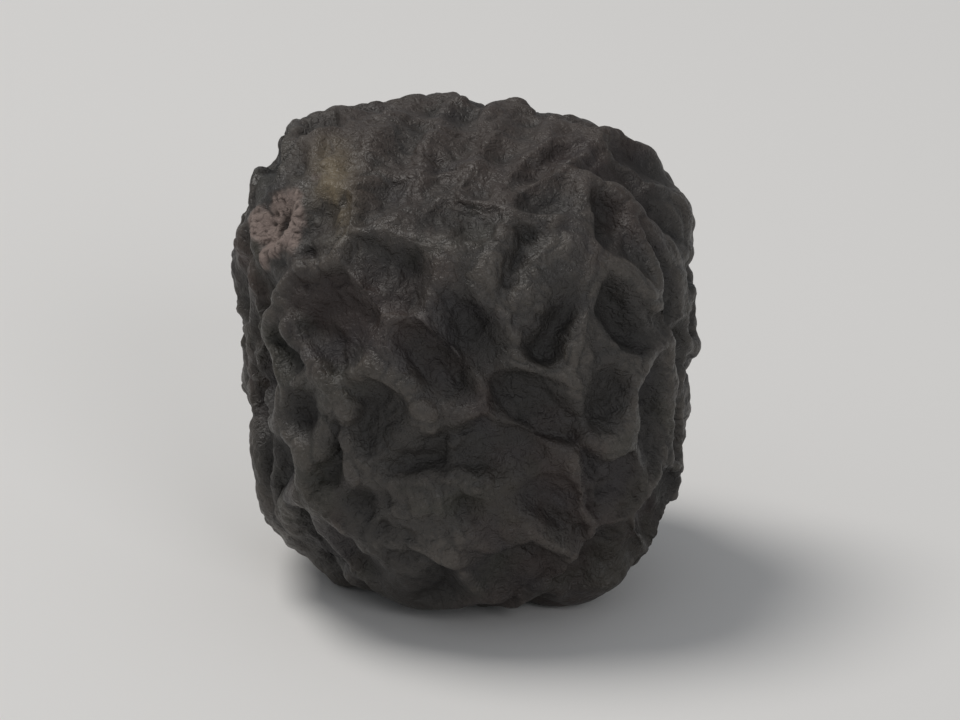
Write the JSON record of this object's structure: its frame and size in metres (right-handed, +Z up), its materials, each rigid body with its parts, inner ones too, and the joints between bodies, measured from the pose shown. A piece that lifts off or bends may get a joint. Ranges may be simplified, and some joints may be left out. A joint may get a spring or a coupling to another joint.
{
  "type": "black peppercorn",
  "caption": "Dried black peppercorn about 5 mm across: a small round berry with a raised net of wrinkles and a pale stem scar, resting on three low knees round a small flat spot.",
  "frame": {"origin": "centre of the bounding box at the level of the surface it rests on", "axes": "+Z up from the resting spot"},
  "size_m": [0.005, 0.005, 0.0052],
  "materials": {
    "dried_skin": "satin, wrinkled dried skin"
  },
  "bodies": {
    "root": {"peppercorn": "dried_skin"}
  },
  "joints": []
}
